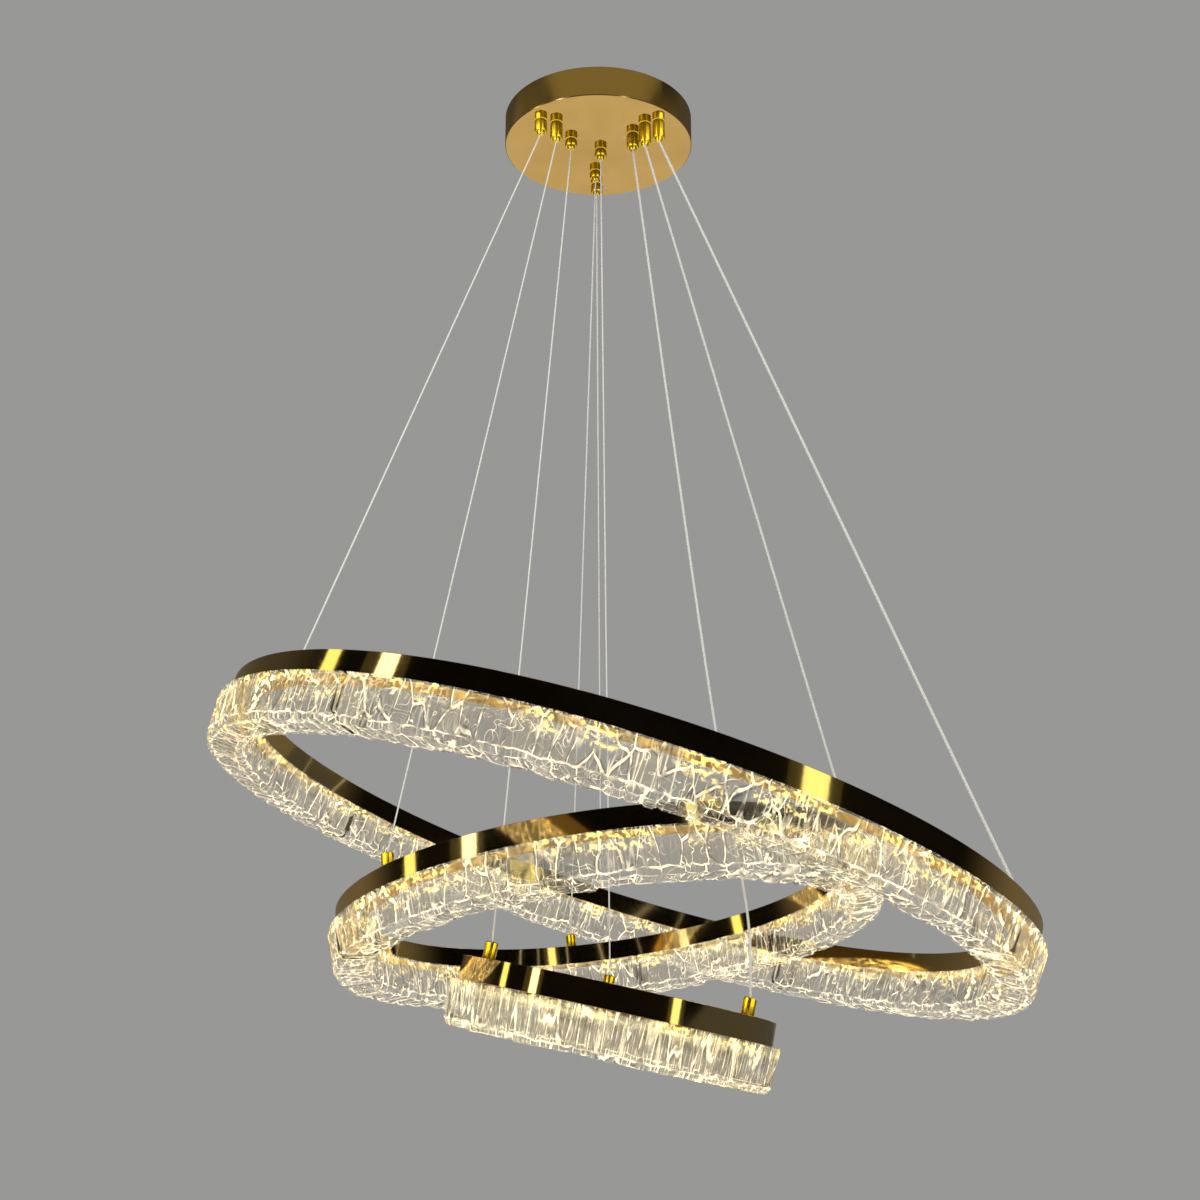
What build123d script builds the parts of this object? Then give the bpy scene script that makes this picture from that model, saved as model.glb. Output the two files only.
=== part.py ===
from build123d import *
from math import cos, degrees, pi, radians, sin, tan
import os

# Three-ring chandelier with lit, ice-cut acrylic arcs, hung on nine wires from a round canopy.
# Millimetres. The origin is the centre of the ceiling face, +Z points up, and the lamp hangs
# below it. Seen from the front (looking along +Y), +X is to the right.

os.makedirs("parts", exist_ok=True)

# ---- canopy ----
canopy_diameter = 200.0
canopy_height = 32.0
canopy_wall = 1.2
canopy_floor = 1.5
canopy_edge_chamfer = 0.8

# ---- ceiling bracket: a bent steel bar across the canopy ----
bracket_width = 30.0
bracket_thickness = 2.0
bracket_ear_drop = 14.0
bracket_ear_thickness = 3.2
bracket_ear_width = 18.0
bracket_end_clearance = 0.2
slot_spacing = 80.0
slot_length = 20.0
slot_width = 5.0
grub_screw_diameter = 4.0
grub_screw_length = 6.0
grub_screw_z = -8.0
grub_screw_inset = 0.1
grub_socket_radius = 1.15
grub_socket_depth = 2.0
screw_clearance = 0.15

# ---- what the canopy holds ----
driver_length = 104.0
driver_width = 34.0
driver_height = 16.0
driver_corner_radius = 3.0
driver_flange_length = 8.0
driver_flange_width = 18.0
driver_flange_thickness = 1.5
driver_flange_hole = 3.4
terminal_gap = 3.0
terminal_length = 12.0
terminal_width = 26.0
terminal_height = 12.0
terminal_ways = 3
terminal_screw_hole = 3.2
terminal_screw_depth = 5.0
terminal_wire_hole = 3.6
clamp_gap = 4.0
clamp_length = 9.0
clamp_width = 22.0
clamp_rise = 7.0
clamp_tunnel_radius = 4.0
clamp_tunnel_drop = 1.5

# ---- wire grippers on the canopy floor ----
gripper_diameter = 13.0
gripper_collar_length = 8.0
gripper_groove_width = 1.4
gripper_neck_wall = 1.1
gripper_chamfer = 1.0
stem_diameter = 8.0
stem_rise = 6.5
stem_clearance = 0.15
nut_across_flats = 11.0
nut_height = 3.2
nose_diameter = 8.0
nose_clearance = 0.1
nose_shows = 3.2
nose_press = 1.8
nose_inside = 9.0
nose_chamfer = 1.0

# ---- wires ----
wire_diameter = 1.4
wire_play = 2.0
flat_cord_width = 4.4
flat_cord_thickness = 2.2
flat_cord_play = 0.8
wire_inside_nose = 0.5
wire_inside_ferrule = 0.3
bend_share = 0.45
tail_diameter = 2.2
tail_length = 5.0
tail_below_collar = 4.0

# ---- ring channel (sheet-metal gutter, open below) ----
channel_width = 24.0
channel_height = 20.5
channel_sheet = 1.0

# ---- light source in each channel ----
board_thickness = 1.2
board_height = 8.0
board_top_gap = 1.0
board_glue = 0.05
chip_length = 5.0
chip_width = 2.8
chip_thickness = 0.8
chip_pitch = 33.0

# ---- ice-cut acrylic arcs ----
ring_total_height = 60.0
crystal_seat_gap = 0.3
crystal_outer_overhang = 7.0
crystal_outer_foot = 4.0
crystal_inner_overhang = 5.5
crystal_inner_foot = 7.5
crystal_foot_chamfer = 5.0
crystal_foot_inset = 2.6
crystal_tongue_height = 5.5
crystal_tongue_width = 3.6
crystal_tongue_clearance = 0.3
crystal_trough_floor = 9.0
crystal_end_wall = 4.0
crystal_groove_depth = 2.4
crystal_groove_half_width = 1.6
crystal_inner_facet_ratio = 1.6
crystal_gap = 4.0
tongue_end_inset = 0.5

# ---- wire ferrules on the rings ----
ferrule_diameter = 11.5
ferrule_cord_play = 1.0
ferrule_bore_share = 0.6
ferrule_chamfer = 0.8
ferrule_stem_diameter = 6.0
ferrule_stem_clearance = 0.15
ferrule_nut_diameter = 10.0
ferrule_nut_height = 3.0
ferrule_stem_length = 5.0

# Each ring: radius of the gutter's outer wall, centre of its top plate, the two turns that tilt
# it, the azimuths of its wires in its own plane (left, right, far), the height of its ferrules,
# how many acrylic arcs it has, where the first joint between them lies, and the mean facet.
rings = {
    "large": dict(
        radius=389.0,
        centre=(24.5, -4.5, -755.0),
        turn_x=-8.4,
        turn_y=17.4,
        azimuths=(-140.0, -31.0, 91.0),
        ferrule_height=3.5,
        arcs=4,
        first_joint=-126.0,
        facet=31.0,
    ),
    "medium": dict(
        radius=261.5,
        centre=(5.5, 56.5, -812.0),
        turn_x=-13.1,
        turn_y=-7.4,
        azimuths=(-138.5, -16.0, 100.0),
        ferrule_height=15.0,
        arcs=3,
        first_joint=-157.0,
        facet=28.0,
    ),
    "small": dict(
        radius=144.5,
        centre=(18.5, -41.5, -903.5),
        turn_x=-3.8,
        turn_y=11.9,
        azimuths=(-152.0, -33.5, 93.5),
        ferrule_height=15.0,
        arcs=2,
        first_joint=176.0,
        facet=15.0,
    ),
}
sides = ("left", "right", "far")

# Gripper places on the canopy floor, as shares of its radius in x and y.
gripper_places = {
    ("large", "left"): (-0.59, -0.665),
    ("small", "left"): (-0.285, -0.3),
    ("large", "right"): (0.62, -0.655),
    ("small", "right"): (0.36, -0.41),
    ("large", "far"): (-0.02, 0.62),
    ("medium", "far"): (-0.03, 0.345),
    ("small", "far"): (0.025, -0.1),
}

# Two grippers stand close beside another: which, in what direction, and the gap between them.
grippers_beside = {
    ("medium", "left"): (("large", "left"), 15.7, 3.6),
    ("medium", "right"): (("large", "right"), 158.6, 2.0),
}

# How far each gripper hangs below the canopy.
gripper_drops = {
    ("large", "left"): 24.0,
    ("medium", "left"): 29.0,
    ("small", "left"): 19.0,
    ("large", "right"): 31.0,
    ("medium", "right"): 33.0,
    ("small", "right"): 27.0,
    ("large", "far"): 21.0,
    ("medium", "far"): 19.0,
    ("small", "far"): 19.0,
}

# The small ring's right-hand cord carries its power and is left a little slack above the ring:
# its route, as shares of the drop from gripper to ferrule and steps sideways from a straight line.
slack_route = [
    (0.50, 0.0),
    (0.78, 2.5),
    (0.87, 7.0),
    (0.93, 8.0),
    (0.968, 4.0),
]


# ---- worked-out sizes ----
canopy_radius = canopy_diameter / 2
floor_z = -canopy_height
floor_top_z = floor_z + canopy_floor
crystal_top_z = -channel_height - crystal_seat_gap
crystal_foot_z = -ring_total_height
mid_channel = channel_width / 2
wire_bore = wire_diameter + wire_play
flat_cord_bore = flat_cord_width + flat_cord_play
ferrule_bore = flat_cord_width + ferrule_cord_play
nose_room = nose_diameter / 2 + nose_clearance


def gripper_place(key):
    """Where a gripper stands on the canopy floor."""
    if key in gripper_places:
        return tuple(share * canopy_radius for share in gripper_places[key])
    neighbour, azimuth, gap = grippers_beside[key]
    x, y = gripper_place(neighbour)
    apart = gripper_diameter + gap
    return x + apart * cos(radians(azimuth)), y + apart * sin(radians(azimuth))


grippers = {key: (gripper_place(key), drop) for key, drop in gripper_drops.items()}


def export(name, *solids):
    """Writes the solids of one piece, or of one group of like fasteners, to its own file."""
    shape = solids[0] if len(solids) == 1 else Compound(children=list(solids))
    shape.label = name
    export_step(shape, f"parts/{name}.step")


def cylinder(radius, low, high, x=0.0, y=0.0):
    """A solid cylinder about a vertical axis, from low to high."""
    return Pos(x, y, (low + high) / 2) * Cylinder(radius, high - low)


def block(size, centre):
    """A box with its middle at centre."""
    return Pos(*centre) * Box(*size)


def turned(points, start=0.0, sweep=360.0):
    """Revolves a closed (radius, z) outline about Z from one azimuth over a sweep."""
    outline = Polyline(*[(r, 0, z) for r, z in points], close=True)
    face = Rot(0, 0, start) * make_face(outline)
    return revolve(face, Axis.Z, sweep)


def ring_place(ring):
    """Moves a piece from a ring's own frame (top plate at z = 0) to where the ring hangs."""
    return Pos(*ring["centre"]) * Rot(0, ring["turn_y"], 0) * Rot(ring["turn_x"], 0, 0)


def on_ring(ring, azimuth, radius, z):
    """A point given on a ring by azimuth, radius and height, in the lamp's frame."""
    local = Vector(radius * cos(radians(azimuth)), radius * sin(radians(azimuth)), z)
    return (ring_place(ring) * Pos(*local)).position


# ---- canopy ----
def canopy_cover():
    outer = canopy_radius
    body = cylinder(outer, floor_z, 0)
    low_rim = body.edges().group_by(Axis.Z)[0]
    body = chamfer(low_rim, canopy_edge_chamfer)
    body -= cylinder(outer - canopy_wall, floor_top_z, 1)
    for (x, y), _ in grippers.values():
        body -= cylinder(stem_diameter / 2 + stem_clearance, floor_z - 1, floor_top_z + 1, x, y)
    grub_hole = Pos(0, 0, grub_screw_z) * Rot(0, 90, 0)
    body -= grub_hole * Cylinder(grub_screw_diameter / 2 + screw_clearance, canopy_diameter + 2)
    return body


def ceiling_bracket():
    reach = canopy_radius - canopy_wall - bracket_end_clearance
    bar = block((2 * reach, bracket_width, bracket_thickness), (0, 0, -bracket_thickness / 2))
    round_end = cylinder(reach, -bracket_ear_drop, 0)
    for side in (-1, 1):
        ear_x = side * (reach - bracket_ear_thickness / 2)
        ear_size = (bracket_ear_thickness, bracket_ear_width, bracket_ear_drop)
        bar += block(ear_size, (ear_x, 0, -bracket_ear_drop / 2))
    bar = bar & round_end
    for side in (-1, 1):
        slot = Pos(side * slot_spacing / 2, 0, -bracket_thickness / 2)
        bar -= slot * extrude(SlotOverall(slot_length, slot_width), bracket_thickness, both=True)
    across = Pos(0, 0, grub_screw_z) * Rot(0, 90, 0)
    bar -= across * Cylinder(grub_screw_diameter / 2 + screw_clearance, canopy_diameter)
    return bar


def grub_screws():
    screws = []
    for side in (-1, 1):
        middle = side * (canopy_radius - grub_screw_length / 2 - grub_screw_inset)
        screw = Cylinder(grub_screw_diameter / 2, grub_screw_length)
        socket = extrude(RegularPolygon(grub_socket_radius, 6), -grub_socket_depth)
        screw -= Pos(0, 0, grub_screw_length / 2) * socket
        screws.append(Pos(middle, 0, grub_screw_z) * Rot(0, side * 90, 0) * screw)
    return screws


def led_driver():
    top = -bracket_thickness
    case = block((driver_length, driver_width, driver_height), (0, 0, top - driver_height / 2))
    case = fillet(case.edges().filter_by(Axis.Z), driver_corner_radius)
    flange_reach = driver_length + 2 * driver_flange_length
    flange_size = (flange_reach, driver_flange_width, driver_flange_thickness)
    case += block(flange_size, (0, 0, top - driver_flange_thickness / 2))
    for side in (-1, 1):
        x = side * (driver_length + driver_flange_length) / 2
        case -= cylinder(driver_flange_hole / 2, top - driver_height, top + 1, x, 0)
    return case


def terminal_block():
    x = -(driver_length / 2 + driver_flange_length + terminal_gap + terminal_length / 2)
    top = -bracket_thickness
    foot = top - terminal_height
    body = block((terminal_length, terminal_width, terminal_height), (x, 0, (top + foot) / 2))
    pitch = terminal_width / terminal_ways
    for way in range(terminal_ways):
        y = (way - (terminal_ways - 1) / 2) * pitch
        body -= cylinder(terminal_screw_hole / 2, foot - 1, foot + terminal_screw_depth, x, y)
        through = Pos(x, y, (top + foot) / 2) * Rot(0, 90, 0)
        body -= through * Cylinder(terminal_wire_hole / 2, terminal_length + 2)
    return body


def cable_clamp():
    x = driver_length / 2 + driver_flange_length + clamp_gap + clamp_length / 2
    top = -bracket_thickness
    saddle = block((clamp_length, clamp_width, clamp_rise), (x, 0, top - clamp_rise / 2))
    along = Pos(x, 0, top - clamp_tunnel_drop) * Rot(0, 90, 0)
    saddle -= along * Cylinder(clamp_tunnel_radius, clamp_length + 2)
    return saddle


# ---- grippers ----
def gripper_body(place, drop, bore):
    x, y = place
    radius = gripper_diameter / 2
    tip = floor_z - drop + nose_shows
    body = cylinder(radius, tip, floor_z, x, y)
    body = chamfer(body.edges().group_by(Axis.Z)[0], gripper_chamfer)
    groove_top = floor_z - gripper_collar_length
    groove = cylinder(radius + 1, groove_top - gripper_groove_width, groove_top, x, y)
    groove -= cylinder(nose_room + gripper_neck_wall, floor_z - drop, 0, x, y)
    body -= groove
    body += cylinder(stem_diameter / 2, floor_z, floor_z + stem_rise, x, y)
    body -= cylinder(bore / 2, floor_z - drop, 0, x, y)
    body -= cylinder(nose_room, tip - 1, tip + nose_inside + nose_press + nose_clearance, x, y)
    return body


def gripper_nose(place, drop, bore):
    x, y = place
    tip = floor_z - drop
    nose = cylinder(nose_diameter / 2, tip, tip + nose_shows + nose_inside, x, y)
    nose = chamfer(nose.edges().group_by(Axis.Z)[0], nose_chamfer)
    nose -= cylinder(bore / 2, tip - 1, 0, x, y)
    return nose


def gripper_nuts():
    nuts = []
    for (x, y), _ in grippers.values():
        nut = Pos(x, y, floor_top_z) * extrude(
            RegularPolygon(nut_across_flats / 2, 6, major_radius=False), nut_height
        )
        nut -= cylinder(stem_diameter / 2 + stem_clearance, floor_z, 0, x, y)
        nuts.append(nut)
    return nuts


# ---- rings ----
def channel(ring):
    outer = ring["radius"]
    inner = outer - channel_width
    wall = channel_sheet
    foot = -channel_height
    body = turned(
        [
            (inner, foot),
            (inner, 0),
            (outer, 0),
            (outer, foot),
            (outer - wall, foot),
            (outer - wall, -wall),
            (inner + wall, -wall),
            (inner + wall, foot),
        ]
    )
    hole = ferrule_stem_diameter / 2 + ferrule_stem_clearance
    for azimuth in ring["azimuths"]:
        x = (outer - mid_channel) * cos(radians(azimuth))
        y = (outer - mid_channel) * sin(radians(azimuth))
        body -= cylinder(hole, -wall - 1, 1, x, y)
    return ring_place(ring) * body


def led_board(ring):
    """A narrow board on the gutter's inner wall, facing the acrylic."""
    back = ring["radius"] - channel_width + channel_sheet + board_glue
    top = -channel_sheet - board_top_gap
    body = turned(
        [
            (back, top),
            (back + board_thickness, top),
            (back + board_thickness, top - board_height),
            (back, top - board_height),
        ]
    )
    return ring_place(ring) * body


def led_chips(ring):
    face = ring["radius"] - channel_width + channel_sheet + board_glue + board_thickness
    count = round(2 * pi * face / chip_pitch)
    z = -channel_sheet - board_top_gap - board_height / 2
    chips = []
    for index in range(count):
        turn = Rot(0, 0, 360.0 * (index + 0.5) / count)
        chip = Pos(face + chip_thickness / 2, 0, z) * Box(chip_thickness, chip_width, chip_length)
        chips.append(ring_place(ring) * turn * chip)
    return chips


def facet_breaks(start, sweep, mean_angle):
    """Azimuths where an arc's facets meet: uneven widths from a fixed wave, closing on the end."""
    count = max(3, round(sweep / mean_angle))
    widths = [1.0 + 0.34 * sin(2.4 * k + 0.9) + 0.2 * sin(5.3 * k) for k in range(count)]
    share = sweep / sum(widths)
    breaks = [start]
    for width in widths:
        breaks.append(breaks[-1] + width * share)
    return breaks


def wall_points(breaks, radius, groove, groove_angle):
    """Points along a faceted wall: a flat chord for each facet and a V groove between two."""
    points = [(radius, breaks[0])]
    for azimuth in breaks[1:-1]:
        points.append((radius, azimuth - groove_angle))
        points.append((radius - groove, azimuth))
        points.append((radius, azimuth + groove_angle))
    points.append((radius, breaks[-1]))
    return points


def arc_section(outer_breaks, inner_breaks, outer_radius, inner_radius, z):
    """The closed outline of an acrylic arc at one height, outer wall first, then back inside."""
    groove_angle = degrees(crystal_groove_half_width / outer_radius)
    outer = wall_points(outer_breaks, outer_radius, crystal_groove_depth, groove_angle)
    inner = [(inner_radius, azimuth) for azimuth in reversed(inner_breaks)]
    points = [(r * cos(radians(a)), r * sin(radians(a)), z) for r, a in outer + inner]
    return Wire(Polyline(*points, close=True).edges())


def crystal_arc(ring, index):
    """One acrylic arc: a faceted trough that hangs under the gutter on two tongues."""
    outer = ring["radius"]
    inner = outer - channel_width
    gap_angle = degrees(crystal_gap / outer)
    sweep = 360.0 / ring["arcs"] - gap_angle
    start = ring["first_joint"] + index * 360.0 / ring["arcs"] + gap_angle / 2
    mean_angle = degrees(ring["facet"] / outer)
    outer_breaks = facet_breaks(start, sweep, mean_angle)
    inner_breaks = facet_breaks(start, sweep, mean_angle * crystal_inner_facet_ratio)
    knee_z = crystal_foot_z + crystal_foot_chamfer
    sections = [
        arc_section(
            outer_breaks, inner_breaks,
            outer + crystal_outer_overhang, inner - crystal_inner_overhang, crystal_top_z,
        ),
        arc_section(
            outer_breaks, inner_breaks,
            outer + crystal_outer_foot, inner - crystal_inner_foot, knee_z,
        ),
        arc_section(
            outer_breaks, inner_breaks,
            outer + crystal_outer_foot - crystal_foot_inset,
            inner - crystal_inner_foot + crystal_foot_inset, crystal_foot_z,
        ),
    ]
    body = Solid.make_loft(sections, ruled=True)
    clear = channel_sheet + crystal_tongue_clearance
    tongue_top = -channel_height + crystal_tongue_height
    tongue_block = turned(
        [
            (inner + clear, crystal_top_z - 1),
            (inner + clear, tongue_top),
            (outer - clear, tongue_top),
            (outer - clear, crystal_top_z - 1),
        ],
        start + degrees(tongue_end_inset / outer),
        sweep - degrees(2 * tongue_end_inset / outer),
    )
    trough_inner = inner + clear + crystal_tongue_width
    trough_outer = outer - clear - crystal_tongue_width
    trough_foot = crystal_foot_z + crystal_trough_floor
    trough = turned(
        [
            (trough_inner, trough_foot),
            (trough_inner, tongue_top + 1),
            (trough_outer, tongue_top + 1),
            (trough_outer, trough_foot),
        ],
        start + degrees(crystal_end_wall / outer),
        sweep - degrees(2 * crystal_end_wall / outer),
    )
    body = (body + tongue_block) - trough
    return ring_place(ring) * body


def ferrules(ring):
    pieces = []
    height = ring["ferrule_height"]
    for azimuth in ring["azimuths"]:
        x = (ring["radius"] - mid_channel) * cos(radians(azimuth))
        y = (ring["radius"] - mid_channel) * sin(radians(azimuth))
        piece = cylinder(ferrule_diameter / 2, 0, height, x, y)
        piece = chamfer(piece.edges().group_by(Axis.Z)[-1], ferrule_chamfer)
        piece += cylinder(ferrule_stem_diameter / 2, -ferrule_stem_length, 0, x, y)
        well_floor = height * (1 - ferrule_bore_share)
        piece -= cylinder(ferrule_bore / 2, well_floor, height + 1, x, y)
        pieces.append(ring_place(ring) * piece)
    return pieces


def ferrule_nuts(ring):
    pieces = []
    top = -channel_sheet
    for azimuth in ring["azimuths"]:
        x = (ring["radius"] - mid_channel) * cos(radians(azimuth))
        y = (ring["radius"] - mid_channel) * sin(radians(azimuth))
        nut = Pos(x, y, top - ferrule_nut_height) * extrude(
            RegularPolygon(ferrule_nut_diameter / 2, 6), ferrule_nut_height
        )
        bore = ferrule_stem_diameter / 2 + ferrule_stem_clearance
        nut -= cylinder(bore, top - ferrule_nut_height - 1, 0, x, y)
        pieces.append(ring_place(ring) * nut)
    return pieces


# ---- wires ----
def wire_ends(ring_name, side):
    """Where a wire leaves its gripper's nose, and where it enters its ferrule."""
    ring = rings[ring_name]
    (x, y), drop = grippers[(ring_name, side)]
    top = Vector(x, y, floor_z - drop + wire_inside_nose)
    azimuth = ring["azimuths"][sides.index(side)]
    end_height = ring["ferrule_height"] - wire_inside_ferrule
    bottom = on_ring(ring, azimuth, ring["radius"] - mid_channel, end_height)
    return top, bottom


def round_wire(top, bottom):
    along = Plane(origin=top, z_dir=bottom - top)
    return extrude(along * Circle(wire_diameter / 2), (bottom - top).length)


def flat_section(plane):
    """Two cores side by side under one clear jacket."""
    return plane * SlotOverall(flat_cord_width, flat_cord_thickness)


def flat_cord(top, bottom):
    along = Plane(origin=top, z_dir=bottom - top, x_dir=(0, 1, 0))
    return extrude(flat_section(along), (bottom - top).length)


def slack_cord(top, bottom):
    """The flat cord that hangs a little slack: straight runs joined by tangent arcs."""
    drop = bottom - top
    across = drop.cross(Vector(1, 0, 0)).normalized()
    sideways = across.cross(drop).normalized()
    points = [top]
    for share, step in slack_route:
        points.append(top + drop * share + sideways * step)
    points.append(bottom)
    radii = []
    for before, here, after in zip(points, points[1:], points[2:]):
        half_turn = radians((here - before).get_angle(after - here)) / 2
        shorter = min((here - before).length, (after - here).length)
        radii.append(bend_share * shorter / tan(half_turn))
    path = FilletPolyline(*points, radius=radii)
    start = Plane(origin=points[0], z_dir=points[1] - points[0], x_dir=across)
    cord = sweep(flat_section(start), path)
    section = flat_section(Plane.XY).area
    print("slack cord radii", [round(r) for r in radii], "length", round(path.length, 1))
    print("slack cord volume over section times length", round(cord.volume / section / path.length, 3))
    return cord


def wire_tails():
    """The cut ends of two wires, which leave their grippers sideways."""
    tails = []
    for key, way in ((("small", "right"), -1), (("large", "far"), 1)):
        (x, y), drop = grippers[key]
        start = x + way * (gripper_diameter / 2 + tail_length / 2)
        z = floor_z - gripper_collar_length - tail_below_collar
        tails.append(Pos(start, y, z) * Rot(0, 90, 0) * Cylinder(tail_diameter / 2, tail_length))
    return tails


export("canopy_cover", canopy_cover())
export("ceiling_bracket", ceiling_bracket())
export("canopy_grub_screws", *grub_screws())
export("led_driver", led_driver())
export("terminal_block", terminal_block())
export("cable_clamp", cable_clamp())
export("gripper_nuts", *gripper_nuts())
export("wire_tails", *wire_tails())

for (ring_name, side), (place, drop) in grippers.items():
    bore = flat_cord_bore if side == "right" else wire_bore
    export(f"gripper_{ring_name}_{side}", gripper_body(place, drop, bore))
    export(f"release_nose_{ring_name}_{side}", gripper_nose(place, drop, bore))
    top, bottom = wire_ends(ring_name, side)
    if side != "right":
        wire = round_wire(top, bottom)
    elif ring_name == "small":
        wire = slack_cord(top, bottom)
    else:
        wire = flat_cord(top, bottom)
    export(f"wire_{ring_name}_{side}", wire)
    print(f"wire_{ring_name}_{side}", round((bottom - top).length, 1), "straight")

for ring_name, ring in rings.items():
    export(f"{ring_name}_ring_channel", channel(ring))
    export(f"{ring_name}_ring_led_board", led_board(ring))
    export(f"{ring_name}_ring_led_chips", *led_chips(ring))
    for index in range(ring["arcs"]):
        export(f"{ring_name}_ring_crystal_arc_{index + 1}", crystal_arc(ring, index))
    export(f"{ring_name}_ring_ferrules", *ferrules(ring))
    export(f"{ring_name}_ring_ferrule_nuts", *ferrule_nuts(ring))
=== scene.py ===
import bmesh
import bpy
import math
from mathutils import Matrix, Vector


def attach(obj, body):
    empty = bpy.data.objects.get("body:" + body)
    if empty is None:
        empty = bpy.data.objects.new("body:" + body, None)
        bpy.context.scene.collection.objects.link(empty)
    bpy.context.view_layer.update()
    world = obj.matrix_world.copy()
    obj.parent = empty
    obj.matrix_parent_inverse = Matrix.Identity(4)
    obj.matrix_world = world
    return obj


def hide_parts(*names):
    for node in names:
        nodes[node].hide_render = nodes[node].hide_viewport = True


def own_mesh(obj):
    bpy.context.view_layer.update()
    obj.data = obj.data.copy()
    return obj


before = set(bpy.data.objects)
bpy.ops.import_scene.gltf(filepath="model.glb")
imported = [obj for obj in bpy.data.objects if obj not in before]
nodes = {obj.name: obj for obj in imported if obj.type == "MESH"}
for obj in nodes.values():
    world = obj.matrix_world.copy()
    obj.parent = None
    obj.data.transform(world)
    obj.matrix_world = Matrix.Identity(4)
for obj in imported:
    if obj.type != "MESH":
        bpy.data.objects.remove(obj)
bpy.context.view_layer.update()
scene = bpy.context.scene
print("frame loaded:", len(nodes), "nodes")

# each ring as it hangs: the outer radius of its gutter, the middle of its top plate, its two tilts,
# the azimuths of its wires, the height of its ferrules, and the arcs of acrylic under it, with the
# seed of their pattern
rings = {
    "large": {
        "radius": 0.389, "centre": (0.0245, -0.0045, -0.755), "turnX": -8.4, "turnY": 17.4,
        "azimuths": {"left": -140.0, "right": -31.0, "far": 91.0}, "ferrule": 0.0035,
        "arcs": 4, "firstJoint": -126.0, "seed": 1.85,
    },
    "medium": {
        "radius": 0.2615, "centre": (0.0055, 0.0565, -0.812), "turnX": -13.1, "turnY": -7.4,
        "azimuths": {"left": -138.5, "right": -16.0, "far": 100.0}, "ferrule": 0.015,
        "arcs": 3, "firstJoint": -157.0, "seed": 2.22,
    },
    "small": {
        "radius": 0.1445, "centre": (0.0185, -0.0415, -0.9035), "turnX": -3.8, "turnY": 11.9,
        "azimuths": {"left": -152.0, "right": -33.5, "far": 93.5}, "ferrule": 0.015,
        "arcs": 2, "firstJoint": 176.0, "seed": 1.85,
    },
}
gutterWidth = 0.024


def ringMatrix(ring):
    turn = Matrix.Rotation(math.radians(ring["turnY"]), 4, "Y")
    turn = turn @ Matrix.Rotation(math.radians(ring["turnX"]), 4, "X")
    return Matrix.Translation(ring["centre"]) @ turn


cameraSetup = {
    "place": (0.0018, -1.3594, -0.8441), "pitch": 12.97,  # degrees above level
    "focal": 42.0, "sensor": 36.0,
}


def addCamera(setup):
    data = bpy.data.cameras.new("camera")
    data.lens = setup["focal"]
    data.sensor_width = setup["sensor"]
    data.sensor_fit = "HORIZONTAL"
    camera = bpy.data.objects.new("camera", data)
    camera.location = setup["place"]
    camera.rotation_euler = (math.radians(90 + setup["pitch"]), 0, 0)  # unturned, a camera looks down
    scene.collection.objects.link(camera)
    scene.camera = camera


addCamera(cameraSetup)


# a new material, its tree and its Principled shader
def newTree(name):
    material = bpy.data.materials.new(name)
    material.use_nodes = True
    tree = material.node_tree
    shader = next(n for n in tree.nodes if n.type == "BSDF_PRINCIPLED")
    return material, tree, shader


def addNode(tree, kind, **values):
    node = tree.nodes.new(kind)
    for key, value in values.items():
        setattr(node, key, value)
    return node


def join(tree, source, target):
    tree.links.new(source, target)


def separate(tree, vector):
    node = tree.nodes.new("ShaderNodeSeparateXYZ")
    join(tree, vector, node.inputs[0])
    return node.outputs


def noise(tree, vector, scale, detail=2.0, twist=0.0):
    node = tree.nodes.new("ShaderNodeTexNoise")
    join(tree, vector, node.inputs["Vector"])
    if isinstance(scale, (int, float)):
        node.inputs["Scale"].default_value = scale
    else:
        join(tree, scale, node.inputs["Scale"])
    node.inputs["Detail"].default_value = detail
    node.inputs["Distortion"].default_value = twist
    return node.outputs


def maths(tree, operation, a, b=None, clamp=False):
    node = tree.nodes.new("ShaderNodeMath")
    node.operation = operation
    node.use_clamp = clamp
    for socket, value in zip(node.inputs, (a, b)):
        if value is None:
            continue
        if isinstance(value, (int, float)):
            socket.default_value = value
        else:
            join(tree, value, socket)
    return node.outputs[0]


# from start, at low, to finish, at high
def smooth(tree, value, low, high, start=0.0, finish=1.0):
    node = addNode(tree, "ShaderNodeMapRange", interpolation_type="SMOOTHSTEP")
    join(tree, value, node.inputs["Value"])
    node.inputs["From Min"].default_value = low
    node.inputs["From Max"].default_value = high
    node.inputs["To Min"].default_value = start
    node.inputs["To Max"].default_value = finish
    return node.outputs["Result"]


def mixColour(tree, share, first, second):
    node = addNode(tree, "ShaderNodeMix", data_type="RGBA")
    join(tree, share, node.inputs["Factor"])
    for key, value in (("A", first), ("B", second)):
        if isinstance(value, tuple):
            node.inputs[key].default_value = (*value, 1)
        else:
            join(tree, value, node.inputs[key])
    return node.outputs["Result"]


def mixValue(tree, share, first, second):
    node = tree.nodes.new("ShaderNodeMix")
    join(tree, share, node.inputs["Factor"])
    for key, value in (("A", first), ("B", second)):
        if isinstance(value, (int, float)):
            node.inputs[key].default_value = value
        else:
            join(tree, value, node.inputs[key])
    return node.outputs["Result"]


def groupSockets(group, inputs, outputs):
    for name, kind, value in inputs:
        socket = group.interface.new_socket(name, in_out="INPUT", socket_type=kind)
        if value is not None:
            socket.default_value = value
    for name, kind in outputs:
        group.interface.new_socket(name, in_out="OUTPUT", socket_type=kind)
    return group.nodes.new("NodeGroupInput"), group.nodes.new("NodeGroupOutput")


def useGroup(tree, group, vector, **values):
    node = addNode(tree, "ShaderNodeGroup", node_tree=group)
    join(tree, vector, node.inputs["Vector"])
    for key, value in values.items():
        node.inputs[key].default_value = value
    return node


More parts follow.
